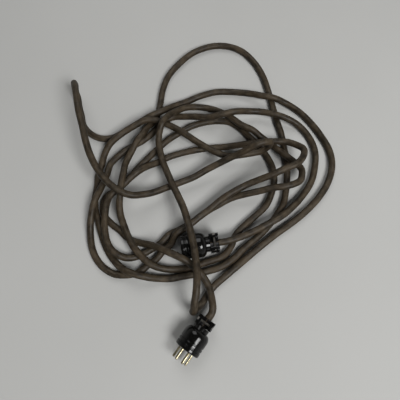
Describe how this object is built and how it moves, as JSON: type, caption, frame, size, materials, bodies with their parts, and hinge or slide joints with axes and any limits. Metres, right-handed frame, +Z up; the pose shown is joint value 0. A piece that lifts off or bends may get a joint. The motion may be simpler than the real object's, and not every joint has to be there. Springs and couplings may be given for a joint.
{
  "type": "instrument cable",
  "caption": "Long round rubber-jacketed multi-way cord in a loose heap, with a black pin plug on one end and a matching black socket on the other, each with a screw cord clamp.",
  "frame": {"origin": "on the surface that the cable lies on, under the middle of its bounding box", "axes": "+Z up; +Y from the plug across the heap to its far arch, the heap's longest way; +X to the right of that"},
  "size_m": [0.4062, 0.5004, 0.0592],
  "materials": {
    "jacket": "dull brown cord jacket",
    "phenolic": "glossy black moulding",
    "contact_brass": "dulled brass",
    "clamp_steel": "plated steel",
    "wire_insulation": "thin insulation"
  },
  "bodies": {
    "cable": {"cord": "jacket", "plug_jacket_end": "jacket", "plug_wires": "wire_insulation", "plug_shell": "phenolic", "plug_clamp_nuts": "clamp_steel", "plug_retaining_ring": "clamp_steel", "plug_insert": "phenolic", "plug_pins_big": "contact_brass", "plug_pins_small": "contact_brass", "socket_jacket_end": "jacket", "socket_wires": "wire_insulation", "socket_shell": "phenolic", "socket_clamp_nuts": "clamp_steel", "socket_retaining_ring": "clamp_steel", "socket_insert": "phenolic", "socket_contacts_big": "contact_brass", "socket_contacts_small": "contact_brass"},
    "plug_jaw": {"plug_clamp_jaw": "phenolic"},
    "plug_top_screw": {"plug_screw_top": "clamp_steel"},
    "plug_bottom_screw": {"plug_screw_bottom": "clamp_steel"},
    "socket_jaw": {"socket_clamp_jaw": "phenolic"},
    "socket_top_screw": {"socket_screw_top": "clamp_steel"},
    "socket_bottom_screw": {"socket_screw_bottom": "clamp_steel"}
  },
  "joints": [
    {"name": "plug_jaw_slide", "type": "slide", "parent": "cable", "child": "plug_jaw", "axis": [0.809, -0.5878, 0], "range_m": [0, 0.00159]},
    {"name": "plug_top_screw_turn", "type": "hinge", "parent": "plug_jaw", "child": "plug_top_screw", "pos_m": [0.00383, -0.19606, 0.0258], "axis": [0.809, -0.5878, 0], "range_deg": [0, 720]},
    {"name": "plug_bottom_screw_turn", "type": "hinge", "parent": "plug_jaw", "child": "plug_bottom_screw", "pos_m": [0.00383, -0.19606, 0.0092], "axis": [0.809, -0.5878, 0], "range_deg": [0, 720]},
    {"name": "socket_jaw_slide", "type": "slide", "parent": "cable", "child": "socket_jaw", "axis": [0.1392, -0.9903, 0], "range_m": [0, 0.00159]},
    {"name": "socket_top_screw_turn", "type": "hinge", "parent": "socket_jaw", "child": "socket_top_screw", "pos_m": [0.01681, -0.08937, 0.0258], "axis": [0.1392, -0.9903, 0], "range_deg": [0, 720]},
    {"name": "socket_bottom_screw_turn", "type": "hinge", "parent": "socket_jaw", "child": "socket_bottom_screw", "pos_m": [0.01681, -0.08937, 0.0092], "axis": [0.1392, -0.9903, 0], "range_deg": [0, 720]}
  ],
  "couplings": [
    {"joint": "plug_top_screw_turn", "follows": "plug_jaw_slide", "rad_per_m": 7913.3},
    {"joint": "plug_bottom_screw_turn", "follows": "plug_jaw_slide", "rad_per_m": 7913.3},
    {"joint": "socket_top_screw_turn", "follows": "socket_jaw_slide", "rad_per_m": 7913.3},
    {"joint": "socket_bottom_screw_turn", "follows": "socket_jaw_slide", "rad_per_m": 7913.3}
  ]
}
